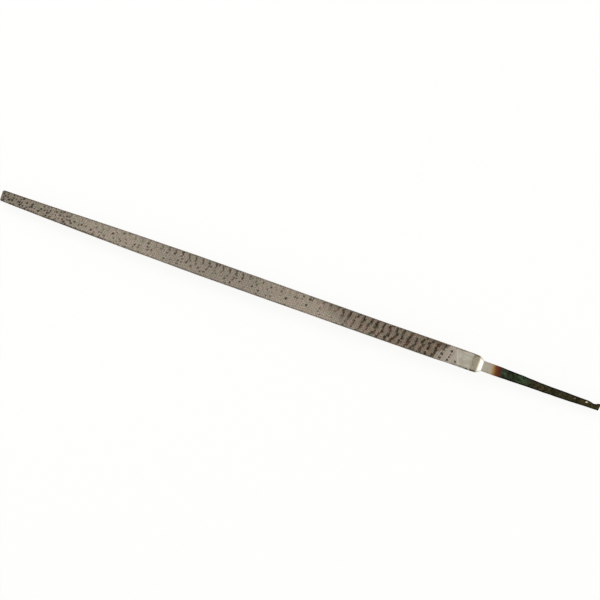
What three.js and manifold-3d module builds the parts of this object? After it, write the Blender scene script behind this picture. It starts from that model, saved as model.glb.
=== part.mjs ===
// A square file: a hardened blade of square section that tapers to its point and has rows of teeth
// on all four faces, and the soft tang behind it, which a handle is driven onto.
// Millimetres, +Z up. The file lies on one face, its point towards -X and its tang towards +X.

import * as THREE from "three";
import { mergeVertices } from "three/addons/utils/BufferGeometryUtils.js";
import Module from "manifold-3d";

const wasm = await Module();
wasm.setup();

// The blade. Its widths are those of the blank, before the chisel raises the teeth.
const bladeLength = 250;
const bladeWidth = 8.83;
const pointWidth = 5.25;
const pointEdgeBreak = 0.45;
const taperLength = 105;
const taperExponent = 1.45;
const heelLength = 12.5;
const heelEdgeBreak = 0.3;
const shoulderLength = 2.6;

// The teeth. Each row winds on round the four faces, so the rows lean alike on every face.
const toothPitch = 1.16;
const crestHeight = 0.15;
const gulletDepth = 0.2;
const rakeRunShare = 0.2;
const rowsPerTurn = 8;
const fadeLength = 9;
const fadedShare = 0.35;

// The tang: a parallel neck, a long taper in three steps, and an end pinched and turned up by the shear.
const tangLength = 61;
const tangRootWidth = 5.35;
const tangEndWidth = 3;
const tangEdgeBreak = 0.35;
const neckLength = 9;
const tangWaistPlaceShares = [0.51, 0.7];
const tangWaistWidthShares = [0.53, 0.43];
const shearLength = 4;
const lipLength = 0.75;
const lipRise = 0.75;
const lipThickness = 0.9;

// How far a solid that only trims or joins runs past the place where it does so.
const overrun = 0.5;

const bladeSteel = new THREE.MeshStandardMaterial({ color: 0x8a8072, roughness: 0.5, metalness: 0.85 });
const scaledSteel = new THREE.MeshStandardMaterial({ color: 0x34342a, roughness: 0.6, metalness: 0.6 });

const shoulderStart = bladeLength - shoulderLength;
const cutEnd = shoulderStart - heelLength;
const crestWidth = bladeWidth + 2 * crestHeight;
const overallLength = bladeLength + tangLength;

function geometryFrom(positions, triangles) {
  const geometry = new THREE.BufferGeometry();
  geometry.setAttribute("position", new THREE.Float32BufferAttribute(positions, 3));
  geometry.setIndex(triangles);
  return geometry;
}

function solidFrom(geometry) {
  const merged = mergeVertices(geometry);
  return new wasm.Manifold(new wasm.Mesh({
    numProp: 3,
    vertProperties: merged.attributes.position.array,
    triVerts: new Uint32Array(merged.index.array),
  }));
}

function geometryOf(solid) {
  const mesh = solid.getMesh();
  return geometryFrom(Array.from(mesh.vertProperties), Array.from(mesh.triVerts));
}

// A section across the file at x: a rectangle from low to high in y, with its edges broken.
function section(x, low, high, halfHeight, edgeBreak) {
  return [
    [x, low + edgeBreak, -halfHeight], [x, high - edgeBreak, -halfHeight],
    [x, high, -halfHeight + edgeBreak], [x, high, halfHeight - edgeBreak],
    [x, high - edgeBreak, halfHeight], [x, low + edgeBreak, halfHeight],
    [x, low, halfHeight - edgeBreak], [x, low, -halfHeight + edgeBreak],
  ];
}

function squareSection(x, width, edgeBreak) {
  const half = width / 2;
  return section(x, -half, half, half, edgeBreak);
}

// A closed solid through sections that follow each other in x, all with as many points.
function loft(sections) {
  const sides = sections[0].length;
  const triangles = [];
  for (let ring = 0; ring + 1 < sections.length; ring += 1) {
    for (let side = 0; side < sides; side += 1) {
      const next = (side + 1) % sides;
      const near = ring * sides;
      const far = near + sides;
      triangles.push(near + side, near + next, far + next);
      triangles.push(near + side, far + next, far + side);
    }
  }
  const last = (sections.length - 1) * sides;
  for (let side = 1; side + 1 < sides; side += 1) {
    triangles.push(0, side + 1, side);
    triangles.push(last, last + side, last + side + 1);
  }
  return geometryFrom(sections.flat(2), triangles);
}

// Half the width of the blank: full behind the taper, and bellied towards the point.
function blankHalf(x) {
  const left = Math.max(0, 1 - x / taperLength);
  return (bladeWidth - (bladeWidth - pointWidth) * left ** taperExponent) / 2;
}

// The chisel strikes more lightly over the last rows before the heel.
function strike(x) {
  const left = (cutEnd - x) / fadeLength;
  return fadedShare + (1 - fadedShare) * Math.min(1, Math.max(0, left));
}

// The four edges of the blade, in the order in which the rows wind round them.
const edgeSigns = [[-1, -1], [-1, 1], [1, 1], [1, -1]];

// The toothed bar, longer than the cut at both ends. Even stations are gullets and odd ones crests.
// A row reaches the next edge a share of rowsPerTurn further on, so the first edge is met again
// rowsPerTurn rows later. The ends are fans from a point on the axis.
function toothedBar() {
  const lead = (rowsPerTurn + 1) * toothPitch;
  const rows = Math.ceil((cutEnd + 2 * lead) / toothPitch);
  const stations = 2 * rows;
  const turn = 2 * rowsPerTurn;
  const positions = [];
  const firstOf = [];
  edgeSigns.forEach(([ySign, zSign], edge) => {
    firstOf.push(positions.length / 3);
    const count = edge === 0 ? stations + turn : stations;
    for (let station = 0; station < count; station += 1) {
      const isCrest = station % 2 === 1;
      const row = Math.floor(station / 2) + (edge / edgeSigns.length) * rowsPerTurn;
      const x = (row + (isCrest ? rakeRunShare : 0)) * toothPitch - lead;
      const half = blankHalf(x) + strike(x) * (isCrest ? crestHeight : -gulletDepth);
      positions.push(x, ySign * half, zSign * half);
    }
  });
  const vertex = (edge, station) => (edge < edgeSigns.length
    ? firstOf[edge] + station
    : firstOf[0] + station + turn);
  const nearCentre = positions.length / 3;
  const farCentre = nearCentre + 1;
  positions.push(-lead, 0, 0);
  positions.push((rows + rowsPerTurn) * toothPitch - lead, 0, 0);

  const triangles = [];
  for (let face = 0; face < edgeSigns.length; face += 1) {
    for (let station = 0; station + 1 < stations; station += 1) {
      const a = vertex(face, station);
      const b = vertex(face, station + 1);
      const c = vertex(face + 1, station + 1);
      const d = vertex(face + 1, station);
      triangles.push(a, b, c, a, c, d);
    }
    triangles.push(nearCentre, vertex(face, 0), vertex(face + 1, 0));
    triangles.push(farCentre, vertex(face + 1, stations - 1), vertex(face, stations - 1));
  }
  for (let station = 0; station < turn; station += 1) {
    const end = stations - 1 + station;
    triangles.push(nearCentre, vertex(0, station + 1), vertex(0, station));
    triangles.push(farCentre, vertex(0, end), vertex(0, end + 1));
  }
  return geometryFrom(positions, triangles);
}

// What the cut leaves of the bar: square to the axis at both ends, with the point's edges broken.
function cutLimits() {
  const pointHalf = blankHalf(0) + crestHeight - pointEdgeBreak;
  const clear = crestWidth;
  const square = (x, half) => [[x, -half, -half], [x, half, -half], [x, half, half], [x, -half, half]];
  return loft([square(0, pointHalf), square(clear, pointHalf + clear), square(cutEnd, pointHalf + clear)]);
}

// The uncut heel, and the shoulder that slopes from it down to the tang.
function heel() {
  return loft([
    squareSection(cutEnd - overrun, bladeWidth, heelEdgeBreak),
    squareSection(shoulderStart, bladeWidth, heelEdgeBreak),
    squareSection(bladeLength, tangRootWidth, tangEdgeBreak),
  ]);
}

function blade() {
  const cut = solidFrom(toothedBar()).intersect(solidFrom(cutLimits()));
  return geometryOf(cut.add(solidFrom(heel())));
}

// The tang narrows alike in width and height. Only its sheared end is pinched and turned towards +Y.
function tang() {
  const widthDrop = tangRootWidth - tangEndWidth;
  const waists = tangWaistPlaceShares.map((placeShare, i) => squareSection(
    bladeLength + placeShare * tangLength,
    tangEndWidth + tangWaistWidthShares[i] * widthDrop,
    tangEdgeBreak,
  ));
  const endHalf = tangEndWidth / 2;
  const endX = bladeLength + tangLength;
  const pinchedHigh = endHalf - tangEdgeBreak;
  const lipHigh = endHalf + lipRise;
  return loft([
    squareSection(bladeLength, tangRootWidth, tangEdgeBreak),
    squareSection(bladeLength + neckLength, tangRootWidth, tangEdgeBreak),
    ...waists,
    section(endX - shearLength, -endHalf, pinchedHigh, endHalf, tangEdgeBreak),
    section(endX - lipLength, -endHalf, lipHigh - lipLength / 2, endHalf, tangEdgeBreak),
    section(endX, lipHigh - lipThickness, lipHigh, endHalf - tangEdgeBreak, tangEdgeBreak),
  ]);
}

function named(name, geometry, material) {
  const shown = geometry.toNonIndexed();
  shown.computeVertexNormals();
  const mesh = new THREE.Mesh(shown, material);
  mesh.name = name;
  return mesh;
}

// The origin is below the middle of the whole file, on the surface that its lower teeth rest on.
const squareFile = new THREE.Group();
squareFile.position.set(-overallLength / 2, 0, crestWidth / 2);
squareFile.add(named("blade", blade(), bladeSteel));
squareFile.add(named("tang", tang(), scaledSteel));

export default squareFile;
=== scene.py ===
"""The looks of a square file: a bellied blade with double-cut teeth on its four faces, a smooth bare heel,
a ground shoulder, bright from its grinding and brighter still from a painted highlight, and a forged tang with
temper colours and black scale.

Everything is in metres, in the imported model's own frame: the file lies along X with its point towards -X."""

import math

import bpy
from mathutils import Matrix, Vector, noise


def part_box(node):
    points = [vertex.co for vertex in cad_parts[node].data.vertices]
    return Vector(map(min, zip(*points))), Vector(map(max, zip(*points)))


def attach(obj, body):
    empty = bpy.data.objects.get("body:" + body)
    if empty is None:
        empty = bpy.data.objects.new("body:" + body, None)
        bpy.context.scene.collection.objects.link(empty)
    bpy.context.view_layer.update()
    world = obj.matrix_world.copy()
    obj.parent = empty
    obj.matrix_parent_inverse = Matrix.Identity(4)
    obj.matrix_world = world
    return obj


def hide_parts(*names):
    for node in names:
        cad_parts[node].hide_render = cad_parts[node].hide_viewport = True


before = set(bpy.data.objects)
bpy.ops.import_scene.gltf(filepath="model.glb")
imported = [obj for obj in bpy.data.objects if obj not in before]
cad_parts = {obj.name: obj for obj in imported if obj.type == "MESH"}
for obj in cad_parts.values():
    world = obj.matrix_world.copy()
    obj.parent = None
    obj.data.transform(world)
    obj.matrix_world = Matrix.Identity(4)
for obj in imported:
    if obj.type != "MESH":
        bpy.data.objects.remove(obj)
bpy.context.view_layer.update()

mm = 0.001

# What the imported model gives: where the blade and the tang begin and end, and how wide they are
blade_low, blade_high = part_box("blade")
tang_low, tang_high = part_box("tang")
point_x = blade_low.x
foot_x = tang_low.x
end_x = tang_high.x
axis_z = (blade_low.z + blade_high.z) / 2
crest_half = (blade_high.z - blade_low.z) / 2

# The blade
crest_height = 0.15 * mm
blank_half = crest_half - crest_height
point_half = 2.625 * mm
point_break = 0.45 * mm
taper_length = 105 * mm
taper_belly = 1.45
shoulder_length = 2.6 * mm
heel_length = 12.5 * mm
heel_rounding = 3.2 * mm
heel_drop = 0.2 * mm
shoulder_x = foot_x - shoulder_length
cut_end_x = shoulder_x - heel_length
cut_length = cut_end_x - point_x

# The teeth: rows of the second cut, crossed by the grooves of the first. One row is at row_place on the upper
# face, and its crest and back are given as shares of the pitch behind its gullet
tooth_pitch = 1.16 * mm
row_place = 218.4 * mm
rows_per_turn = 8
row_lean = rows_per_turn / 4 * tooth_pitch / (2 * blank_half)
dark_row_spacing = 3 * tooth_pitch
gullet_depth = 0.2 * mm
crest_place_share = 0.2
back_place_share = 0.6
back_level_share = 0.3
groove_pitch = 1.3 * mm
grooves_per_turn = 24
groove_floor = 0.15 * mm
groove_width_share = 0.8
grooves_end_before_cut_end = 7 * mm
grooves_end_lean = 0.9
tooth_unevenness = 0.065 * mm
unevenness_scale = 900
fade_length = 9 * mm
faded_share = 0.15
columns_per_face = 36
corner_columns = 1.5
corner_drop_share = 0.03

# The tang, in millimetres: its half width at places behind the shoulder, and where its end is pinched,
# how far its upper edge lies from the axis
tang_halves = (
    (0, 2.62), (8.5, 2.63), (13, 2.47), (20, 2.33), (25, 2.16), (31, 2.03), (37, 1.94), (43, 1.91),
    (49, 1.73), (55, 1.61), (61, 1.53),
)
pinched_edge = ((54.6, 1.63), (56.3, 1.35), (57.5, 1.0), (58.8, 1.2), (60, 1.78), (61, 1.98))
lip_thickness = 1.0
end_rounding = 0.45
end_drop = 0.3
tang_sections = 150

# How rough the forging left the tang: dents, smaller dents in them, and how far from its ends they begin
dent_depth = 0.05 * mm
dent_size = 4 * mm
small_dent_size = 1.1 * mm
small_dent_share = 0.35
smooth_neck = 3 * mm
smooth_end = 1 * mm
end_dent_share = 0.2

# Without a seed of their own the dents would differ from run to run
dent_seed = 1

# The rounded edges of the heel, the shoulder and the tang
edge_radius = 0.35 * mm
edge_fade_power = 6

# The bar isn't quite straight: how far its middle strays sideways, at places from the point, in millimetres
stray = (
    (0, 0.2), (12, 0.08), (25, 0), (120, -0.02), (195, -0.05), (215, 0.03), (238, 0.24), (252, 0.18),
    (270, 0.04), (283, -0.17), (296, -0.16), (305, -0.07), (311, -0.07),
)

# Nor is it quite even: how far each side swells beyond the rule of the taper
swell = (
    (0, 0), (12, -0.03), (30, -0.03), (43, 0.07), (70, 0.09), (84, 0.01), (98, 0.05), (139, 0.06),
    (166, -0.01), (200, -0.055), (230, 0),
)


def eased_through(places, at):
    """The value at a place, eased from each given place to the next."""
    if at <= places[0][0]:
        return places[0][1]
    for (start, first), (end, last) in zip(places, places[1:]):
        if at <= end:
            share = (at - start) / (end - start)
            return first + (last - first) * share * share * (3 - 2 * share)
    return places[-1][1]


def strayed(x):
    """How far the bar's middle lies to the side at x."""
    return eased_through(stray, (x - point_x) / mm) * mm


def swelled(x):
    """How many times its ruled width the bar has at x."""
    return 1 + eased_through(swell, (x - point_x) / mm) * mm / blank_half


def add_object(name, data):
    """A new object in the scene."""
    added = bpy.data.objects.new(name, data)
    bpy.context.scene.collection.objects.link(added)
    return added


class Field:
    """A number that changes over a surface: a node's output, whose arithmetic adds Math nodes to its tree."""

    def __init__(self, tree, socket):
        self.tree = tree
        self.socket = socket

    def math(self, operation, *others):
        node = self.tree.nodes.new("ShaderNodeMath")
        node.operation = operation
        for value, socket in zip((self, *others), node.inputs):
            plug(self.tree, value, socket)
        return Field(self.tree, node.outputs[0])

    def __add__(self, other):
        return self.math("ADD", other)

    def __sub__(self, other):
        return self.math("SUBTRACT", other)

    def __rsub__(self, other):
        return self * -1 + other

    def __mul__(self, other):
        return self.math("MULTIPLY", other)

    def __truediv__(self, other):
        return self.math("DIVIDE", other)

    def __rtruediv__(self, other):
        return self.math("POWER", -1.0) * other

    def size(self):
        return self.math("ABSOLUTE")

    def or_more(self, other):
        """The larger of two: laid over each other, two masks show the stronger."""
        return self.math("MAXIMUM", other)

    def or_less(self, other):
        return self.math("MINIMUM", other)

    def equals(self, number):
        """1 where a whole number is the given one, and 0 elsewhere."""
        return self.math("COMPARE", number, 0.1)

    def between(self, low, high, start=0.0, end=1.0, shape="SMOOTHSTEP"):
        """Start at low, end at high, and an even or eased change between them."""
        node = self.tree.nodes.new("ShaderNodeMapRange")
        node.interpolation_type = shape
        for value, socket in zip((self, low, high, start, end), node.inputs):
            plug(self.tree, value, socket)
        return Field(self.tree, node.outputs[0])


def plug(tree, value, socket):
    """Wires a Field into a socket, or sets a plain value on it."""
    if isinstance(value, Field):
        tree.links.new(value.socket, socket)
    else:
        socket.default_value = value


def add_node(tree, kind, settings=None, **inputs):
    """A new node with its settings and its inputs, whose names have _ for each space."""
    node = tree.nodes.new(kind)
    for name, value in (settings or {}).items():
        setattr(node, name, value)
    for name, value in inputs.items():
        plug(tree, value, node.inputs[name.replace("_", " ")])
    return node


def split(tree, vector):
    """The x, y and z of a vector socket."""
    node = tree.nodes.new("ShaderNodeSeparateXYZ")
    tree.links.new(vector, node.inputs[0])
    return [Field(tree, socket) for socket in node.outputs]


def combine(tree, x, y, z):
    """A vector from three fields or numbers."""
    node = tree.nodes.new("ShaderNodeCombineXYZ")
    for value, socket in zip((x, y, z), node.inputs):
        plug(tree, value, socket)
    return Field(tree, node.outputs[0])


# Noise with more small ripples in it than the usual
crinkled = {"detail": 3.0, "roughness": 0.6}


def noise_at(tree, vector, scale, detail=2.0, roughness=0.5):
    """Noise from 0 to 1 at a vector field."""
    node = add_node(tree, "ShaderNodeTexNoise", Scale=scale, Detail=detail, Roughness=roughness)
    plug(tree, vector, node.inputs["Vector"])
    return Field(tree, node.outputs[0])


# Cut blade

def teeth_tree():
    """Geometry Nodes for the cut blade: one skin wound round the bar, folded in over its two ends."""
    tree = bpy.data.node_groups.new("cut_teeth", "GeometryNodeTree")
    sizes = {
        "Point Half": point_half, "Blank Half": blank_half, "Taper Length": taper_length,
        "Belly": taper_belly, "Cut Length": cut_length, "Point Break": point_break, "Pitch": tooth_pitch,
        "Crest Height": crest_height, "Gullet Depth": gullet_depth, "Groove Pitch": groove_pitch,
        "Groove Floor": groove_floor, "Unevenness": tooth_unevenness, "Fade Length": fade_length,
    }
    counts = {
        "Rows per Turn": rows_per_turn, "Grooves per Turn": grooves_per_turn, "Columns": columns_per_face,
    }
    inputs = [(name, "NodeSocketFloat") for name in sizes] + [(name, "NodeSocketInt") for name in counts]
    for name, kind in (*inputs, ("Steel", "NodeSocketMaterial")):
        tree.interface.new_socket(name=name, in_out="INPUT", socket_type=kind)
    tree.interface.new_socket(name="Geometry", in_out="OUTPUT", socket_type="NodeSocketGeometry")
    group_input = tree.nodes.new("NodeGroupInput")
    given = {name: Field(tree, group_input.outputs[name]) for name in (*sizes, *counts)}

    # The sheet: three stations to a row, at its gullet, crest and back, and enough rows to fold both ends in
    stations_per_row = 3
    rounding_slack = 0.01
    upper_face_middle = 1.5
    lead_rows = rows_per_turn + math.ceil(point_half / tooth_pitch) + 1
    tail_rows = rows_per_turn + math.ceil(blank_half / tooth_pitch) + 2
    stations = stations_per_row * (math.ceil(cut_length / tooth_pitch) + lead_rows + tail_rows)
    around = given["Columns"] * 4
    sheet = add_node(
        tree, "GeometryNodeMeshGrid",
        Size_X=stations - 1, Size_Y=around, Vertices_X=stations, Vertices_Y=around + 1,
    )
    grid_x, grid_y, _ = split(tree, tree.nodes.new("GeometryNodeInputPosition").outputs[0])
    station = (grid_x + (stations - 1) / 2).math("ROUND")
    turn = (grid_y + around / 2).math("ROUND") / given["Columns"]
    row = (station / stations_per_row + rounding_slack).math("FLOOR")
    station_kind = station - row * stations_per_row
    is_crest = station_kind.equals(1.0)
    is_back = station_kind.equals(2.0)
    phase = is_crest * crest_place_share + is_back * back_place_share
    wound = row + phase + (turn - upper_face_middle) * given["Rows per Turn"] / 4
    rows_before_row_place = math.ceil(row_place / tooth_pitch) + lead_rows
    along = (wound - rows_before_row_place) * given["Pitch"] + row_place

    # Where the skin folds in: past the broken edge of the point, and past the end of the cut
    past_point = (given["Point Break"] - along).or_more(0.0)
    break_run = given["Point Break"] * math.sqrt(2)
    on_break = past_point.or_less(break_run) / math.sqrt(2)
    point_fold = on_break + (past_point - break_run).or_more(0.0)
    past_cut = (along - given["Cut Length"]).or_more(0.0)
    sink_run = given["Pitch"]
    sink_slope = 0.5
    end_fold = (past_cut - sink_run).or_more(0.0)
    x = along.or_more(given["Point Break"] - on_break).or_less(given["Cut Length"] + sink_run)

    # The blank's half width, full behind the taper and bellied towards the point
    left = (1 - x / given["Taper Length"]).or_more(0.0).math("POWER", given["Belly"])
    blank = given["Blank Half"] - (given["Blank Half"] - given["Point Half"]) * left

    # The face, and the place across it from -1 to 1
    turn_slack = 0.001
    face = (turn + turn_slack).math("FLOOR")
    across = (turn - face) * 2 - 1
    angle = face * (math.pi / 2)
    sine = angle.math("SINE")
    cosine = angle.math("COSINE")
    unit_y = across * sine - cosine
    unit_z = across * cosine + sine
    side_y = unit_y * blank

    # The second cut's profile: a gullet, a crest and a back that falls to the next gullet
    level = is_crest * given["Crest Height"] + is_back * (given["Gullet Depth"] * -back_level_share)
    level = level - (1 - is_crest - is_back) * given["Gullet Depth"]

    # The first cut's grooves, which end on a slant before the second cut does
    grooves_end = given["Cut Length"] - grooves_end_before_cut_end + side_y * grooves_end_lean
    groove_turns = x / given["Groove Pitch"] + turn * given["Grooves per Turn"] / 4
    from_ridge = (groove_turns.math("FRACT") - 0.5).size() * 2
    notch = from_ridge.between(1 - groove_width_share, 1.0)
    notch = notch * (grooves_end - x).between(0.0, given["Pitch"])
    level = level - notch * (level + given["Groove Floor"]).or_more(0.0)

    # Each tooth is struck a little differently, more lightly before the heel, and not at all past either end
    usual_noise = 0.7
    uneven = noise_at(tree, combine(tree, x, side_y, unit_z * blank), unevenness_scale, 1.0) - usual_noise
    strike = (given["Cut Length"] - x).between(0.0, given["Fade Length"], faded_share, 1.0)
    level = (level + uneven * given["Unevenness"] * 2) * strike
    flat = (past_point / (given["Pitch"] / 4)).or_less(1.0)
    level = level * (1 - flat) - past_cut.or_less(sink_run) * sink_slope

    # The skin's place, with the bar's corners a little blunt, and how high it is in its tooth, from 0 to 1
    corner = across.size().between(1 - corner_columns / columns_per_face, 1.0)
    reach = (blank + level - point_fold - end_fold).or_more(0.0) * (1 - corner * corner_drop_share)
    place = combine(tree, x + point_x, unit_y * reach, unit_z * reach + axis_z)
    height = (level / strike + given["Gullet Depth"]) / (given["Gullet Depth"] + given["Crest Height"])

    stored = add_node(
        tree, "GeometryNodeStoreNamedAttribute", {"data_type": "FLOAT", "domain": "POINT"},
        Name="tooth_height", Value=height,
    )
    merge_distance = 0.004 * mm
    moved = add_node(tree, "GeometryNodeSetPosition", Position=place)
    merged = add_node(tree, "GeometryNodeMergeByDistance", Distance=merge_distance)
    flat_shaded = add_node(tree, "GeometryNodeSetShadeSmooth", Shade_Smooth=False)
    real = tree.nodes.new("GeometryNodeRealizeInstances")
    painted = tree.nodes.new("GeometryNodeSetMaterial")
    tree.links.new(group_input.outputs["Steel"], painted.inputs["Material"])
    output = tree.nodes.new("NodeGroupOutput")
    chain = (sheet, stored, moved, merged, flat_shaded, real, painted, output)
    for before, after in zip(chain, chain[1:]):
        tree.links.new(before.outputs[0], after.inputs[0])
    return tree, {**sizes, **counts}


def made_by_nodes(name, tree, values, material):
    """A plain mesh object from a Geometry Nodes tree, with its named inputs set, uneven as the bar is."""
    source = add_object(name + "_source", bpy.data.meshes.new(name + "_source"))
    modifier = source.modifiers.new("nodes", "NODES")
    modifier.node_group = tree
    identifiers = {
        item.name: item.identifier for item in tree.interface.items_tree if item.in_out == "INPUT"
    }
    for input_name, value in {**values, "Steel": material}.items():
        modifier[identifiers[input_name]] = value
    evaluated = source.evaluated_get(bpy.context.evaluated_depsgraph_get())
    mesh = bpy.data.meshes.new_from_object(evaluated)
    mesh.name = name
    bpy.data.objects.remove(source)
    for vertex in mesh.vertices:
        vertex.co.y = vertex.co.y * swelled(vertex.co.x) + strayed(vertex.co.x)
    return add_object(name, mesh)


# Lofted pieces

def rounded_section(half_y, half_z, radius, corner_steps=4, side_steps=8):
    """Points round a rectangle with rounded corners, with how near each is to a corner, from 0 to 1."""
    points = []
    corners = ((1, 1, 0), (-1, 1, 1), (-1, -1, 2), (1, -1, 3))
    for index, (sign_y, sign_z, quarter) in enumerate(corners):
        centre_y = sign_y * (half_y - radius)
        centre_z = sign_z * (half_z - radius)
        for step in range(corner_steps + 1):
            angle = (quarter + step / corner_steps) * math.pi / 2
            y = centre_y + radius * math.cos(angle)
            z = centre_z + radius * math.sin(angle)
            points.append((y, z, 1.0))
        next_sign_y, next_sign_z, _ = corners[(index + 1) % 4]
        start = Vector(points[-1][:2])
        next_angle = (quarter + 1) * math.pi / 2
        stop = Vector((
            next_sign_y * (half_y - radius) + radius * math.cos(next_angle),
            next_sign_z * (half_z - radius) + radius * math.sin(next_angle),
        ))
        for step in range(1, side_steps):
            spot = start.lerp(stop, step / side_steps)
            points.append((spot.x, spot.y, abs(2 * step / side_steps - 1) ** edge_fade_power))
    return points


def lofted(name, sections, material, shape=None):
    """A closed skin through sections, each (x, low y, high y, half z) in metres, with an edge attribute.
    A second section close to each end keeps the end's edge crisp."""
    crisp = 0.02 * mm
    first, last = sections[0], sections[-1]
    near_first = (first[0] + crisp, *first[1:])
    near_last = (last[0] - crisp, *last[1:])
    sections = [first, near_first, *sections[1:-1], near_last, last]
    verts, edge_values, faces = [], [], []
    for x, low_y, high_y, half_z in sections:
        middle_y = (low_y + high_y) / 2 + strayed(x)
        for y, z, near_corner in rounded_section((high_y - low_y) / 2, half_z, edge_radius):
            spot = Vector((x, middle_y + y, axis_z + z))
            verts.append(shape(spot) if shape else spot)
            edge_values.append(near_corner)
    around = len(verts) // len(sections)
    for ring in range(len(sections) - 1):
        near = ring * around
        for step in range(around):
            following = (step + 1) % around
            faces.append((near + step, near + following, near + around + following, near + around + step))
    faces.append(tuple(reversed(range(around))))
    last_ring = len(verts) - around
    faces.append(tuple(range(last_ring, len(verts))))
    mesh = bpy.data.meshes.new(name)
    mesh.from_pydata(verts, [], faces)
    attribute = mesh.attributes.new("edge", "FLOAT", "POINT")
    attribute.data.foreach_set("value", edge_values)
    mesh.materials.append(material)
    mesh.shade_smooth()
    return add_object(name, mesh)


def heel_and_shoulder(material):
    """The uncut heel, which falls off a little at its rear, and the shoulder that slopes down to the tang."""
    flat_steps, rounded_steps, slope_steps = 12, 8, 6
    drop_power = 1.4
    halves = []
    for step in range(flat_steps + 1):
        halves.append((cut_end_x + (shoulder_x - heel_rounding - cut_end_x) * step / flat_steps, blank_half))
    for step in range(1, rounded_steps + 1):
        share = step / rounded_steps
        half = blank_half - heel_drop * share ** drop_power
        halves.append((shoulder_x - heel_rounding * (1 - share), half))
    top_half = halves[-1][1]
    foot_half = tang_halves[0][1] * mm
    for step in range(1, slope_steps + 1):
        share = step / slope_steps
        halves.append((shoulder_x + shoulder_length * share, top_half + (foot_half - top_half) * share))
    return lofted("heel_and_shoulder", [(x, -half, half, half) for x, half in halves], material)


def forged(spot):
    """A point of the tang, pushed in or out as the hammer left it."""
    dent = noise.noise_vector(spot / dent_size) * dent_depth
    dent += noise.noise_vector(spot / small_dent_size) * dent_depth * small_dent_share
    from_end = (end_x - spot.x) / smooth_end + end_dent_share
    hold = min(1.0, (spot.x - foot_x) / smooth_neck, from_end)
    return spot + Vector((0.0, dent.y, dent.z)) * max(0.0, hold)


def tang_forging(material):
    """The forged tang: a parallel neck, a taper with a slack waist, and an end pinched and turned up."""
    noise.seed_set(dent_seed)
    length = (end_x - foot_x) / mm
    corner_start = length - end_rounding
    sections = []
    for step in range(tang_sections + 1):
        behind = length * step / tang_sections
        half = eased_through(tang_halves, behind)
        low = -half
        high = half if behind < pinched_edge[0][0] else eased_through(pinched_edge, behind)
        half_z = half
        if behind > corner_start:
            share = (behind - corner_start) / (length - corner_start)
            low += (high - lip_thickness - low) * share * share
            half_z -= end_drop * share * share
        sections.append((foot_x + behind * mm, low * mm, high * mm, half_z * mm))
    return lofted("tang_forging", sections, material, forged)


# Materials: what they share is in groups of nodes

def new_group(name, inputs, outputs):
    """A shader node group, its inputs as fields, and the node that its outputs go to."""
    tree = bpy.data.node_groups.new(name, "ShaderNodeTree")
    for input_name, value in inputs.items():
        kind = "NodeSocketColor" if isinstance(value, tuple) else "NodeSocketFloat"
        tree.interface.new_socket(name=input_name, in_out="INPUT", socket_type=kind).default_value = value
    for output_name in outputs:
        kind = "NodeSocketColor" if output_name == "Colour" else "NodeSocketFloat"
        tree.interface.new_socket(name=output_name, in_out="OUTPUT", socket_type=kind)
    given = tree.nodes.new("NodeGroupInput")
    result = tree.nodes.new("NodeGroupOutput")
    return tree, {name: Field(tree, given.outputs[name]) for name in inputs}, result


def use_group(tree, name, **inputs):
    """A group placed in a material, and its outputs as fields."""
    node = add_node(tree, "ShaderNodeGroup", {"node_tree": groups[name]}, **inputs)
    return {socket.name: Field(tree, socket) for socket in node.outputs}


def object_place(tree):
    """The place of a surface point, in the piece's own axes."""
    return Field(tree, tree.nodes.new("ShaderNodeTexCoord").outputs["Object"])


def surface_noise(tree, scale, detail=2.0, roughness=0.5):
    """Noise from 0 to 1 at the piece's own place, its scale in patches to the metre."""
    return noise_at(tree, object_place(tree), scale, detail, roughness)


def attribute_field(tree, name):
    """A number that the mesh carries at each of its points."""
    node = add_node(tree, "ShaderNodeAttribute", {"attribute_name": name})
    return Field(tree, node.outputs["Fac"])


def mixed(tree, share, first, second, blend="MIX"):
    """A colour between two colours, each a field or four numbers."""
    node = add_node(tree, "ShaderNodeMix", {"data_type": "RGBA", "blend_type": blend})
    for value, socket in ((share, node.inputs[0]), (first, node.inputs[6]), (second, node.inputs[7])):
        plug(tree, value, socket)
    return Field(tree, node.outputs[2])


def colour(red, green, blue):
    """A colour given as the eight-bit numbers seen on a screen."""
    linear = [((part / 255 + 0.055) / 1.055) ** 2.4 for part in (red, green, blue)]
    return (*linear, 1.0)


def stops_field(tree, share, stops):
    """A smooth run of colours, or of greys, along a share from 0 to 1."""
    node = tree.nodes.new("ShaderNodeValToRGB")
    plug(tree, share, node.inputs[0])
    elements = node.color_ramp.elements
    while len(elements) < len(stops):
        elements.new(1.0)
    for element, (place, value) in zip(elements, stops):
        element.position = place
        element.color = value if isinstance(value, tuple) else (value, value, value, 1.0)
    return Field(tree, node.outputs["Color"])


# The upper face's number in the group face_place
upper_face = 1.0


def face_place_group():
    """Where a point lies on the bar's four faces, counted the way that the rows wind."""
    tree, given, result = new_group(
        "face_place", {"Axis Height": axis_z, "Point Place": point_x}, ("Along", "Across", "Face", "Corner")
    )
    x, y, z = split(tree, object_place(tree).socket)
    height = z - given["Axis Height"]
    is_side = y.size().math("GREATER_THAN", height.size())
    on_side = height * y.math("SIGN") * -1
    on_flat = y * height.math("SIGN")
    widest = y.size().or_more(height.size())
    narrowest = y.size().or_less(height.size())
    plug(tree, x - given["Point Place"], result.inputs["Along"])
    plug(tree, on_flat + is_side * (on_side - on_flat), result.inputs["Across"])
    plug(tree, is_side * 2 + (y + height).math("GREATER_THAN", 0.0), result.inputs["Face"])
    plug(tree, narrowest / widest, result.inputs["Corner"])
    return tree


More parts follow.
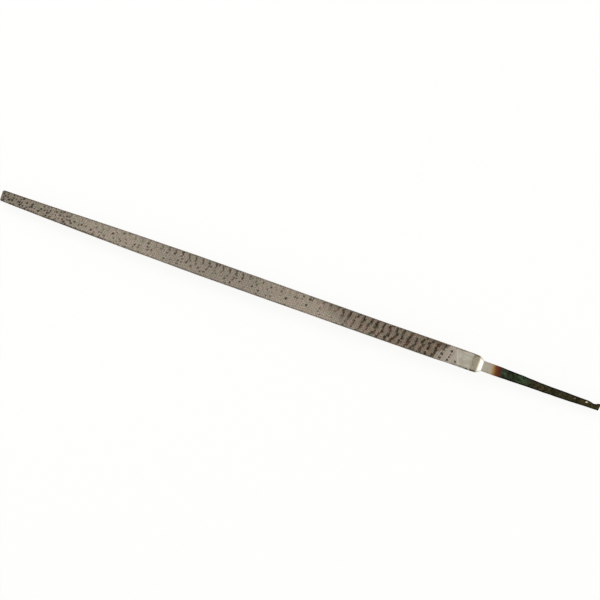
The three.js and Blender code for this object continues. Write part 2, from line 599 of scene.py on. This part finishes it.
def mottle_group():
    """Cloudy patches of a second colour, large ones with smaller ones in them."""
    plain = (0.5, 0.5, 0.5, 1.0)
    tree, given, result = new_group(
        "mottle", {"Colour": plain, "Patch Colour": plain, "Patch Size": 5 * mm, "Amount": 0.5}, ("Colour",)
    )
    patch_edge = (0.42, 0.62)
    cloud = surface_noise(tree, 1 / given["Patch Size"], **crinkled)
    share = cloud.between(*patch_edge) * given["Amount"]
    plug(tree, mixed(tree, share, given["Colour"], given["Patch Colour"]), result.inputs["Colour"])
    return tree


def oil_spots_group():
    """Spots where old oil stays in the gullets, in leaning rows: up to 1 in a spot and 0 between.
    Another Set gives other spots, and Kept Share thins them out."""
    tree, given, result = new_group(
        "oil_spots",
        {
            "Row Place": row_place, "Row Spacing": 2 * mm, "Spot Spacing": 2 * mm, "Lean": row_lean,
            "Spot Radius": 0.3 * mm, "Stretch": 1.0, "Scatter": 0.7, "Kept Share": 0.5, "Faintness": 0.0,
            "Set": 0.0,
        },
        ("Mask",),
    )
    shift_per_row, shift_per_face, shift_per_set = 0.618, 37.3, 171.0
    smallest_share, largest_share = 0.75, 1.25
    raggedness = 1.8
    spot_edge = (0.5, 1.3)
    place = use_group(tree, "face_place")
    off_row_place = place["Along"] - place["Across"] * given["Lean"] - given["Row Place"]
    row = off_row_place / given["Row Spacing"] + given["Scatter"] / 2
    row_number = (off_row_place / given["Row Spacing"]).math("ROUND")
    spot = place["Across"] / given["Spot Spacing"] + row_number * shift_per_row
    spot = spot + place["Face"] * shift_per_face + given["Set"] * shift_per_set
    cells = add_node(
        tree, "ShaderNodeTexVoronoi", {"voronoi_dimensions": "2D"},
        Vector=combine(tree, row, spot, 0.0), Scale=1.0, Randomness=given["Scatter"],
    )
    middle_row, middle_spot, _ = split(tree, cells.outputs["Position"])
    chance, size, strength = split(tree, cells.outputs["Color"])
    off_row = (row - middle_row) * given["Row Spacing"]
    off_spot = (spot - middle_spot) * given["Spot Spacing"] / given["Stretch"]
    distance = (off_row * off_row + off_spot * off_spot).math("SQRT")
    radius = given["Spot Radius"] * (size * (largest_share - smallest_share) + smallest_share)
    ragged = surface_noise(tree, scale=1800.0, **crinkled) - 0.5
    mask = (distance / radius + ragged * raggedness).between(*spot_edge, 1.0, 0.0)
    mask = mask * (1 - strength * given["Faintness"])
    plug(tree, mask * chance.math("LESS_THAN", given["Kept Share"]), result.inputs["Mask"])
    return tree


def lone_spot_group():
    """One ragged spot or chip on the upper face: up to 1 in it and 0 outside."""
    tree, given, result = new_group(
        "lone_spot",
        {
            "Point Place": point_x, "Spot Along": 0.0, "Spot Across": 0.0, "Length": 1 * mm, "Width": 1 * mm,
            "Slant": 0.0, "Raggedness": 0.5,
        },
        ("Mask",),
    )
    spot_edge = (0.6, 1.25)
    place = use_group(tree, "face_place", Point_Place=given["Point Place"])
    off_along = place["Along"] - given["Spot Along"]
    off_across = place["Across"] - given["Spot Across"] - off_along * given["Slant"]
    off_along = off_along / given["Length"] * 2
    off_across = off_across / given["Width"] * 2
    distance = (off_along * off_along + off_across * off_across).math("SQRT")
    ragged = surface_noise(tree, scale=2200.0, **crinkled) - 0.5
    distance = distance + ragged * given["Raggedness"] * 4
    mask = distance.between(*spot_edge, 1.0, 0.0) * place["Face"].equals(upper_face)
    plug(tree, mask, result.inputs["Mask"])
    return tree


def rub_marks_group():
    """Fine marks rubbed along the file, from 0 to 1."""
    tree, given, result = new_group("rub_marks", {"Length": 8 * mm, "Width": 0.3 * mm}, ("Mask",))
    x, y, z = split(tree, object_place(tree).socket)
    stretched = combine(tree, x * given["Width"] / given["Length"], y, z)
    plug(tree, noise_at(tree, stretched, 1 / given["Width"], **crinkled), result.inputs["Mask"])
    return tree


groups = {}
for make_group in (face_place_group, mottle_group, oil_spots_group, lone_spot_group, rub_marks_group):
    group = make_group()
    groups[group.name] = group


# What the materials do alike

def new_material(name, **shader_values):
    """A material, its tree and its shader, whose values that are the same all over are set on the shader."""
    material = bpy.data.materials.new(name)
    material.use_nodes = True
    tree = material.node_tree
    shader = tree.nodes["Principled BSDF"]
    for input_name, value in shader_values.items():
        shader.inputs[input_name.replace("_", " ")].default_value = value
    return material, tree, shader


def bump(tree, shader, height, distance):
    """Fine relief in the shading: where height is 1 the surface looks raised by the distance."""
    node = add_node(tree, "ShaderNodeBump", Distance=distance, Height=height)
    tree.links.new(node.outputs[0], shader.inputs["Normal"])


def mottled(tree, steel, patch, size, amount):
    """A steel's colour with cloudy patches of another laid over it."""
    values = {"Colour": steel, "Patch_Colour": patch, "Patch_Size": size, "Amount": amount}
    return use_group(tree, "mottle", **values)["Colour"]


def oil_spots(tree, **inputs):
    return use_group(tree, "oil_spots", **inputs)["Mask"]


def with_dots(tree, mask, dots, width_share=1.0, slant=0.0):
    """A mask with single spots added on the upper face. A dot says in millimetres where it is along and
    across and how long it is, and then how strong."""
    for along, across, length, strength in dots:
        dot = use_group(
            tree, "lone_spot", Spot_Along=along * mm, Spot_Across=across * mm,
            Length=length * mm, Width=length * width_share * mm, Slant=slant, Raggedness=0.2,
        )["Mask"]
        mask = mask.or_more(dot * strength)
    return mask


# Cut steel

# Painted shade in the gullets and a painted highlight on the crests: the gullet colour is darker, the crest
# colour paler
shaded_gullet_steel = colour(159, 149, 134)
highlit_crest_steel = colour(169, 159, 144)
greenish_steel = colour(151, 149, 132)
reddish_steel = colour(168, 151, 143)
specks = colour(128, 118, 103)
# The oily rows' stain, with painted shade in the gullets and a painted highlight on the crests
stained_and_shaded_gullet = colour(86, 75, 57)
stained_and_highlit_crest = colour(118, 103, 81)
reddish_stain = colour(138, 108, 88)
clean_cut_steel = colour(151, 141, 129)
# Colours of old oil, which also paint the shade of the gullets' ends along the corners
old_oil_and_shade = colour(25, 25, 15)
rusty_oil_and_shade = colour(52, 29, 19)

# What changes along the cut, at shares of its length from the point
cut_tone = (
    (0.0, 0.7), (0.08, 0.83), (0.13, 0.86), (0.2, 0.94), (0.3, 0.93), (0.38, 0.82), (0.48, 0.78),
    (0.55, 0.8), (0.63, 0.91), (0.7, 0.93), (0.77, 0.8), (0.82, 0.85), (0.86, 0.81), (0.93, 0.69),
    (1.0, 0.66),
)
upper_spot_share = (
    (0.0, 1.0), (0.06, 0.75), (0.12, 0.5), (0.2, 0.2), (0.32, 0.25), (0.45, 0.45), (0.5, 0.65),
    (0.57, 0.4), (0.65, 0.3), (1.0, 0.8),
)
lower_spot_share = (
    (0.0, 1.0), (0.12, 0.9), (0.18, 0.5), (0.24, 0.3), (0.31, 0.6), (0.42, 0.4), (0.6, 0.2), (0.7, 0.2),
    (0.8, 0.6), (1.0, 0.9),
)
share_between_rows = ((0.0, 1.0), (0.1, 0.9), (0.2, 0.7), (0.35, 0.45), (0.6, 0.3), (1.0, 0.2))

# The cleaner strip's dots, as with_dots takes them, and where the rows of the strip, the oily rows and the
# dashes are, from the point
strip_dots = (
    (229.0, -0.8, 1.6, 1.0), (228.5, -2.9, 1.5, 0.9), (229.3, 1.4, 1.5, 1.0), (230.5, 3.2, 1.5, 0.9),
    (233.3, 1.9, 1.5, 1.0), (233.3, 0.1, 1.2, 0.7), (232.9, -1.3, 1.3, 0.8), (232.4, -2.9, 1.4, 1.0),
)
strip_row_place = 229.1 * mm
strip_row_spacing = 4 * mm
oily_from = 164 * mm
oily_over = 20 * mm
oily_from_lean = 0.6
dash_place = 80.6 * mm
dash_lean = 0.34
dash_edge = (0.25 * mm, 0.6 * mm)

# The two places from the point between which each of these begins or ends
point_stain_ends = (0.1 * mm, 1.4 * mm)
point_spots_fade = (5 * mm, 45 * mm)
specks_fade = (20 * mm, 60 * mm)
edge_stain_ends = (40 * mm, 100 * mm)
dashes_begin = (72 * mm, 96 * mm)
dashes_end = (122 * mm, 136 * mm)
middle_spots_end = (120 * mm, 145 * mm)
smear_begins = (216 * mm, 226 * mm)
oily_rows_end = (225.8 * mm, 226.8 * mm)
clean_strip_begins = (226.3 * mm, 227.2 * mm)

# How far the end of the oily rows leans back across a face, and how much more above the place where it bends
rows_end_lean = 0.9 * mm
rows_end_bend = -0.2
rows_end_further_lean = 4.1 * mm

oil_in_gullets = 0.95
oil_on_crests = 0.72
dry_roughness = 0.5
oily_roughness = 0.38


def bare_cut_steel(tree, along, across, height):
    """The steel under the oil: a painted highlight on the crests and painted shade in the gullets, cloudy
    patches, specks, and a tone that changes along the cut.
    """
    # Painted shade in the gullets and a painted highlight on the crests
    steel = mixed(tree, height.between(0.1, 0.9), shaded_gullet_steel, highlit_crest_steel)
    steel = mottled(tree, steel, greenish_steel, 4.4 * mm, 0.55)
    steel = mottled(tree, steel, reddish_steel, 2.9 * mm, 0.6)
    speckled = along.between(*specks_fade, 0.55, 0.47) * across.between(-0.6, 0.1, 0.75, 1.0)
    steel = mottled(tree, steel, specks, 0.9 * mm, speckled)
    tone = stops_field(tree, along / cut_length, cut_tone)
    return mixed(tree, 1.0, steel, tone, "MULTIPLY")


def scattered_oil(tree, along, across):
    """Spots on every third row and some between: many at the point and low down, higher up past the taper."""
    upper_share = stops_field(tree, along / cut_length, upper_spot_share)
    lower_share = stops_field(tree, along / cut_length, lower_spot_share)
    kept = lower_share + (upper_share - lower_share) * across.between(-0.5, 0.4)
    middle = across.size().between(0.15, 0.6, 0.35, 0.0)
    kept = kept + middle * along.between(*middle_spots_end, 1.0, 0.0)
    shared = {
        "Row_Spacing": dark_row_spacing, "Spot_Spacing": 1.6 * mm, "Stretch": 1.1,
        "Faintness": along.between(*point_spots_fade, 0.1, 0.45),
    }
    on_rows = oil_spots(tree, Spot_Radius=0.5 * mm, Scatter=0.45, Kept_Share=kept, Set=1.0, **shared)
    crowding = stops_field(tree, along / cut_length, share_between_rows)
    between_rows = oil_spots(
        tree, Row_Place=row_place + dark_row_spacing / 2, Spot_Radius=0.48 * mm, Scatter=0.6,
        Kept_Share=kept * crowding, Set=2.0, **shared,
    )
    return on_rows.or_more(between_rows)


def leaning_dashes(tree, place, along, across):
    """Dashes that lean the other way, down from the upper edge: faint on the taper, darkest where it ends."""
    dash_row = (along + place["Across"] * dash_lean - dash_place) / dark_row_spacing
    dash_number = dash_row.math("ROUND")
    off_dash = (dash_row - dash_number).size() * dark_row_spacing
    chance = Field(tree, add_node(
        tree, "ShaderNodeTexWhiteNoise", {"noise_dimensions": "2D"},
        Vector=combine(tree, dash_number, place["Face"], 0.0),
    ).outputs["Value"])

    # How dark a dash is, and how far down it reaches, are left to chance
    dashes = off_dash.between(*dash_edge, 1.0, 0.0) * (chance * 0.4 + 0.6)
    dash_end = chance * 0.4 + 0.15
    dashes = dashes * across.between(dash_end, dash_end + 0.1) * across.between(0.8, 0.98, 1.0, 0.3)
    return dashes * along.between(*dashes_begin, 0.3, 0.95) * along.between(*dashes_end, 1.0, 0.2)


def oily_rows(tree, along, across):
    """The dark rows, each broken into short dashes, and a smear by the upper edge where they end."""
    rows = oil_spots(
        tree, Row_Spacing=dark_row_spacing, Spot_Spacing=1.35 * mm, Spot_Radius=0.72 * mm, Stretch=1.55,
        Scatter=0.43, Kept_Share=0.98, Faintness=0.27,
    )
    smear = across.between(0.55, 0.95) * along.between(*smear_begins) * 0.6
    return rows.or_more(smear)


def strip_spots(tree, place):
    """The spots of the cleaner strip, in its wider rows."""
    elsewhere = oil_spots(
        tree, Row_Place=strip_row_place, Row_Spacing=strip_row_spacing, Spot_Spacing=2 * mm,
        Spot_Radius=0.55 * mm, Stretch=1.2, Scatter=0.3, Kept_Share=0.95,
    )
    return with_dots(tree, elsewhere * (1 - place["Face"].equals(upper_face)), strip_dots)


def edge_oil_and_shade(tree, place, along, across, cleaner):
    """Painted shade where the gullets end along the corners, and oil along the taper's lower edge and round
    the point.
    """
    broken = surface_noise(tree, scale=620.0, detail=1.0)
    # Painted shade of the gullets' ends along the bar's corners, broken by noise
    corner = place["Corner"].between(0.84, 0.96) * broken.between(0.35, 0.6, 0.25, 0.8) * 0.7
    low_edge = place["Corner"].between(0.76, 0.9) * across.math("LESS_THAN", 0.0)
    low_edge = low_edge * along.between(*edge_stain_ends, 0.95, 0.0) * broken.between(0.36, 0.52, 0.4, 1.0)
    point = along.between(*point_stain_ends, 0.85, 0.0) * broken.between(0.4, 0.6, 0.4, 1.0)
    return (corner * (1 - cleaner)).or_more(low_edge).or_more(point)


def cut_steel():
    """Hardened file steel: a painted highlight on the crests and painted shade in the gullets and along the
    corners, oil in spots and dark rows, cleaner by the heel.
    """
    material, tree, shader = new_material("cut_steel", Metallic=1.0, Roughness=0.5)
    place = use_group(tree, "face_place")
    along = place["Along"]
    height = attribute_field(tree, "tooth_height")

    # On the upper face, -1 is the lower edge in the photograph and 1 the upper edge
    across = place["Across"] / blank_half

    # Where the oily rows reach, and the cleaner strip behind them, where only one cut is left
    slant = along - across * rows_end_lean
    slant = slant - (across - rows_end_bend).or_more(0.0) * rows_end_further_lean
    reach = ((along - oily_from) / oily_over + across * oily_from_lean).between(0.0, 1.2)
    oily = reach * slant.between(*oily_rows_end, 1.0, 0.0)
    cleaner = slant.between(*clean_strip_begins)

    steel = bare_cut_steel(tree, along, across, height)
    # The stain, with painted shade in its gullets and a painted highlight on its crests
    stained = mixed(tree, height, stained_and_shaded_gullet, stained_and_highlit_crest)
    stained = mottled(tree, stained, reddish_stain, 3 * mm, 0.6)
    steel = mixed(tree, oily * 0.45, steel, stained)
    steel = mixed(tree, cleaner * 0.85, steel, clean_cut_steel)

    oil = scattered_oil(tree, along, across).or_more(leaning_dashes(tree, place, along, across))
    oil = oil.or_more(oily_rows(tree, along, across) * oily)
    oil = mixed(tree, cleaner, oil, strip_spots(tree, place))
    # From here the oil mask also holds the painted shade along the corners
    oil = oil.or_more(edge_oil_and_shade(tree, place, along, across, cleaner))
    oil = oil * height.between(0.0, 1.0, oil_in_gullets, oil_on_crests)
    rusty = surface_noise(tree, scale=330.0).between(0.45, 0.6)
    steel = mixed(tree, oil, steel, mixed(tree, rusty, old_oil_and_shade, rusty_oil_and_shade))

    plug(tree, steel, shader.inputs["Base Color"])
    plug(tree, oil.between(0.0, 1.0, dry_roughness, oily_roughness), shader.inputs["Roughness"])
    bump(tree, shader, surface_noise(tree, scale=4000.0), distance=0.01 * mm)
    return material


# Ground steel

plain_heel = colour(161, 157, 144)
rubbed_heel = colour(177, 172, 159)
dull_patches = colour(156, 147, 130)
small_dull_patches = colour(144, 139, 123)
last_cut_steel = colour(160, 150, 138)
pale_line_steel = colour(190, 184, 172)
# A darker band at the heel's rear, where it falls off before the shoulder
darker_rear_band = colour(136, 126, 105)
smudged_dirt = colour(112, 102, 80)
edge_dirt = colour(84, 72, 54)
heel_oil = colour(48, 40, 28)
# The shoulder's colours: bright from its grinding, and brighter still as a painted highlight
ground_and_highlit_shoulder = colour(198, 193, 180)
ground_and_highlit_shoulder_edge = colour(186, 180, 164)

# The heel's dots, as with_dots takes them, and where its marks are, from the point
heel_dots = (
    (236.4, -2.4, 1.4, 0.9), (241.4, -4.0, 1.1, 0.7), (242.9, -3.95, 1.3, 0.9), (244.95, -3.85, 1.4, 1.0),
    (246.55, -3.85, 1.5, 1.0), (246.4, 4.0, 1.0, 0.5),
)
last_row_place = 236.5 * mm
uncut_place = 236.9 * mm
uncut_lean = 1.55 * mm
uncut_edge = 0.6 * mm
pale_line_edge = (0.1 * mm, 0.45 * mm)
band_begins = (243.9 * mm, 244.8 * mm)
band_lean = 0.35 * mm
smudge_place = 245 * mm
smudge_edge = (0.3 * mm, 1.3 * mm)
edge_dirt_ends = (246.4 * mm, 247.4 * mm)
shoulder_begins = (247.2 * mm, 248.9 * mm)
shoulder_dulls = (249.3 * mm, 250.0 * mm)

heel_roughness = 0.38
shoulder_roughness = 0.22
rubs_roughness = 0.12


def bare_heel(tree, place, rubs, edge):
    """The heel: rubbed steel, the cut's last light marks in front, and at its rear a darker band, dirt and
    dots.
    """
    along = place["Along"]
    across = place["Across"] / blank_half
    heel = mixed(tree, rubs.between(0.3, 0.7), plain_heel, rubbed_heel)
    heel = mottled(tree, heel, dull_patches, 4 * mm, 0.6)
    heel = mottled(tree, heel, small_dull_patches, 1.9 * mm, 0.35)

    # The last marks run out on a slant, with a pale line along it
    slant = along + across * uncut_lean
    uncut = slant.between(uncut_place - uncut_edge, uncut_place)
    pale_line = (slant - uncut_place).size().between(*pale_line_edge, 1.0, 0.0)
    heel = mixed(tree, uncut, last_cut_steel, heel)
    heel = mixed(tree, pale_line * 0.45, heel, pale_line_steel)
    spots = oil_spots(
        tree, Row_Place=last_row_place, Row_Spacing=strip_row_spacing, Spot_Spacing=2 * mm,
        Spot_Radius=0.44 * mm, Stretch=1.2, Scatter=0.3, Kept_Share=0.8,
    )
    spots = spots * (1 - place["Face"].equals(upper_face)) * (1 - uncut) * 0.85
    spots = with_dots(tree, spots, heel_dots, width_share=0.8, slant=-0.3)

    # The rear: a duller band, a smudge across it, and dirt along its edges
    # Darker in a band towards the rear
    band = (along + across * band_lean).between(*band_begins)
    heel = mixed(tree, band * 0.62, heel, darker_rear_band)
    smudge = (along - smudge_place).size().between(*smudge_edge, 1.0, 0.0)
    smudge = smudge * surface_noise(tree, scale=700.0).between(0.45, 0.62)
    heel = mixed(tree, smudge * 0.7, heel, smudged_dirt)
    dirty = surface_noise(tree, scale=620.0, detail=1.0).between(0.35, 0.6, 0.25, 0.75)
    dirty = dirty * along.between(*edge_dirt_ends, 1.0, 0.0)
    heel = mixed(tree, edge * dirty, heel, edge_dirt)
    return mixed(tree, spots * 0.9, heel, heel_oil)


def ground_steel():
    """The bare heel, rubbed along its length, and the shoulder, ground bright and made brighter still by a
    painted highlight.
    """
    material, tree, shader = new_material("ground_steel", Metallic=1.0)
    place = use_group(tree, "face_place")
    along = place["Along"]
    rubs = use_group(tree, "rub_marks", Length=9 * mm, Width=0.35 * mm)["Mask"]
    edge = attribute_field(tree, "edge").between(0.3, 0.95)
    # Where the shoulder's colours go, their painted highlight fading towards the tang
    bright = along.between(*shoulder_begins) * along.between(*shoulder_dulls, 1.0, 0.3)
    shoulder = mixed(tree, edge, ground_and_highlit_shoulder, ground_and_highlit_shoulder_edge)
    steel = mixed(tree, bright, bare_heel(tree, place, rubs, edge), shoulder)
    roughness = bright.between(0.0, 1.0, heel_roughness, shoulder_roughness) + (rubs - 0.5) * rubs_roughness
    plug(tree, steel, shader.inputs["Base Color"])
    plug(tree, roughness, shader.inputs["Roughness"])
    bump(tree, shader, rubs, distance=0.012 * mm)
    return material


# Tang steel

# The temper colours and then the scale's, at places behind the shoulder in millimetres
temper_and_scale = (
    (0.0, (163, 158, 145)), (3.2, (159, 150, 133)), (4.6, (164, 145, 114)), (5.5, (144, 115, 73)),
    (6.3, (124, 92, 53)), (7.0, (101, 60, 36)), (8.4, (85, 44, 31)), (9.5, (66, 47, 36)),
    (11.0, (57, 83, 66)), (13.0, (38, 50, 36)), (15.5, (22, 32, 16)), (20.0, (54, 74, 51)),
    (26.0, (46, 44, 28)), (31.0, (68, 58, 40)), (36.0, (36, 34, 20)), (43.0, (54, 51, 34)),
    (47.0, (43, 38, 21)), (52.0, (54, 46, 26)), (55.6, (76, 64, 42)), (58.4, (46, 42, 22)),
    (61.0, (50, 46, 28)),
)
dull_neck = colour(148, 139, 122)
bright_neck = colour(178, 172, 158)
dark_scale = colour(20, 19, 10)
pale_scale = colour(84, 80, 60)
scale_flecks = colour(92, 84, 66)
# Bare steel in the chips, painted brighter as a glint
chipped_and_glinting_steel = colour(206, 194, 168)
# The colour along the tang's rounded edges, which are darker
darker_tang_edge = colour(14, 12, 7)

temper_wander = 1.1 * mm
temper_lean = 0.12
neck_ends = (4 * mm, 6 * mm)
scale_begins = (8 * mm, 11 * mm)
neck_roughness = 0.36
scale_roughness = 0.5
flecks_roughness = 0.2

# Chips in the scale that show bare steel, painted brighter than bare steel as a glint: a large one near the
# end and a dull one before it
scale_chips = ((53.9, 0.45, 1.5, 0.9), (47.9, 0.3, 1.2, 0.18))


def tang_steel():
    """The tang: a pale neck, the temper colours that the fire left, black scale, chipped in places to bare
    steel with a painted glint, and rounded edges that are darker.
    """
    material, tree, shader = new_material("tang_steel", Metallic=1.0)
    place = use_group(tree, "face_place", Point_Place=foot_x)
    behind = place["Along"]
    tang_length = end_x - foot_x
    wander = surface_noise(tree, scale=450.0) - 0.5
    share = (behind + wander * temper_wander + place["Across"] * temper_lean) / tang_length
    stops = [(at * mm / tang_length, colour(*seen)) for at, seen in temper_and_scale]
    steel = stops_field(tree, share, stops)

    neck = behind.between(*neck_ends, 1.0, 0.0)
    steel = mottled(tree, steel, dull_neck, 2.2 * mm, neck * 0.5)
    steel = mottled(tree, steel, bright_neck, 1.1 * mm, neck * 0.35)
    scaled = behind.between(*scale_begins)
    steel = mottled(tree, steel, dark_scale, 1.6 * mm, scaled * 0.85)
    steel = mottled(tree, steel, pale_scale, 1.3 * mm, scaled * 0.25)
    flecks = surface_noise(tree, scale=1500.0, **crinkled)
    steel = mixed(tree, flecks.between(0.6, 0.75) * scaled * 0.3, steel, scale_flecks)
    # Chips of bare steel, each with a painted glint
    for chip_behind, chip_across, length, strength in scale_chips:
        chip = use_group(
            tree, "lone_spot", Point_Place=foot_x, Spot_Along=chip_behind * mm, Spot_Across=chip_across * mm,
            Length=length * mm, Width=length * 0.5 * mm, Slant=0.25, Raggedness=0.6,
        )["Mask"]
        steel = mixed(tree, chip * strength, steel, chipped_and_glinting_steel)
    # Darker along its rounded edges, most where it is scaled
    edge = attribute_field(tree, "edge").between(0.2, 0.9)
    steel = mixed(tree, edge * scaled.between(0.0, 1.0, 0.12, 0.95), steel, darker_tang_edge)

    roughness = scaled.between(0.0, 1.0, neck_roughness, scale_roughness) + (flecks - 0.5) * flecks_roughness
    plug(tree, steel, shader.inputs["Base Color"])
    plug(tree, roughness, shader.inputs["Roughness"])
    bump(tree, shader, flecks * scaled, distance=0.04 * mm)
    return material


# Making the pieces

cut_material = cut_steel()
teeth, teeth_sizes = teeth_tree()
for piece, node, slot in (
    (made_by_nodes("cut_blade", teeth, teeth_sizes, cut_material), "blade", "blade_steel"),
    (heel_and_shoulder(ground_steel()), "blade", "blade_steel"),
    (tang_forging(tang_steel()), "tang", "tang_steel"),
):
    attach(piece, "root")
    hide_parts(node)


# Camera: straight above, rolled as the photograph is, the file corner to corner across its frame

photo_size = 600
photo_axis_tilt = math.radians(19.54)
photo_file_length = 636.2
photo_file_middle = (300.6, 301.75)
camera_lens = 200
camera_sensor = 36

pixel = (end_x - point_x) / photo_file_length
camera_height = pixel * photo_size * camera_lens / camera_sensor
right = Vector((math.cos(photo_axis_tilt), math.sin(photo_axis_tilt), 0.0))
up = Vector((-math.sin(photo_axis_tilt), math.cos(photo_axis_tilt), 0.0))
off_right = photo_file_middle[0] - photo_size / 2
off_down = photo_file_middle[1] - photo_size / 2
middle = Vector(((point_x + end_x) / 2, 0.0, axis_z + crest_half))
camera_data = bpy.data.cameras.new("camera")
camera_data.lens = camera_lens
camera_data.sensor_width = camera_sensor
camera_data.clip_end = 10 * camera_height
camera = add_object("camera", camera_data)
camera.location = middle - (right * off_right - up * off_down) * pixel + Vector((0.0, 0.0, camera_height))
camera.rotation_euler = (0.0, 0.0, photo_axis_tilt)
bpy.context.scene.camera = camera


# Floor, world and lamps

paper_white = (1.0, 1.0, 0.99, 1.0)
paper_reflection = (0.9, 0.9, 0.9, 1.0)
paper_glow_share = 0.9
room_light = 0.7
floor_half = 4.0


def add_floor(material):
    mesh = bpy.data.meshes.new("floor")
    corners = [(x * floor_half, y * floor_half, 0.0) for x, y in ((-1, -1), (1, -1), (1, 1), (-1, 1))]
    mesh.from_pydata(corners, [], [(0, 1, 2, 3)])
    mesh.materials.append(material)
    plane = add_object("floor", mesh)


def seen_directly(tree):
    """1 for what the camera sees, in the open or in a reflection, and 0 for light that only scatters."""
    path = tree.nodes.new("ShaderNodeLightPath")
    seen = Field(tree, path.outputs["Is Camera Ray"])
    for name in ("Is Glossy Ray", "Is Transmission Ray"):
        seen = seen.or_more(Field(tree, path.outputs[name]))
    return seen


def floor_material():
    """White paper that shows as white but still takes part of the file's shadow."""
    material = bpy.data.materials.new("white_floor")
    material.use_nodes = True
    tree = material.node_tree
    tree.nodes.clear()
    diffuse = add_node(tree, "ShaderNodeBsdfDiffuse", Color=paper_reflection)
    glow = add_node(tree, "ShaderNodeEmission", Color=paper_white, Strength=1.0)
    mix = tree.nodes.new("ShaderNodeMixShader")
    plug(tree, seen_directly(tree) * paper_glow_share, mix.inputs[0])
    tree.links.new(diffuse.outputs[0], mix.inputs[1])
    tree.links.new(glow.outputs[0], mix.inputs[2])
    output = tree.nodes.new("ShaderNodeOutputMaterial")
    tree.links.new(mix.outputs[0], output.inputs["Surface"])
    return material


def make_world():
    """A white room: bright where the camera sees it, and dimmer for the light that it sheds."""
    world = bpy.data.worlds.new("white_room")
    bpy.context.scene.world = world
    world.use_nodes = True
    tree = world.node_tree
    background = tree.nodes["Background"]
    background.inputs["Color"].default_value = paper_white
    strength = seen_directly(tree).between(0.0, 1.0, room_light, 1.0, "LINEAR")
    plug(tree, strength, background.inputs["Strength"])


def add_lamp(name, place, size, power):
    """A square soft lamp that faces the middle of the file."""
    data = bpy.data.lights.new(name, "AREA")
    data.shape = "SQUARE"
    data.size = size
    data.energy = power
    light = add_object(name, data)
    light.location = place
    light.rotation_euler = (-Vector(place)).to_track_quat("-Z", "Y").to_euler()


add_floor(floor_material())
make_world()
add_lamp("key_lamp", place=(-0.7, 0.6, 1.1), size=0.6, power=9.0)
add_lamp("shoulder_lamp", place=(1.1, -0.05, 0.64), size=0.5, power=1.8)

bpy.context.scene.view_settings.view_transform = "Standard"
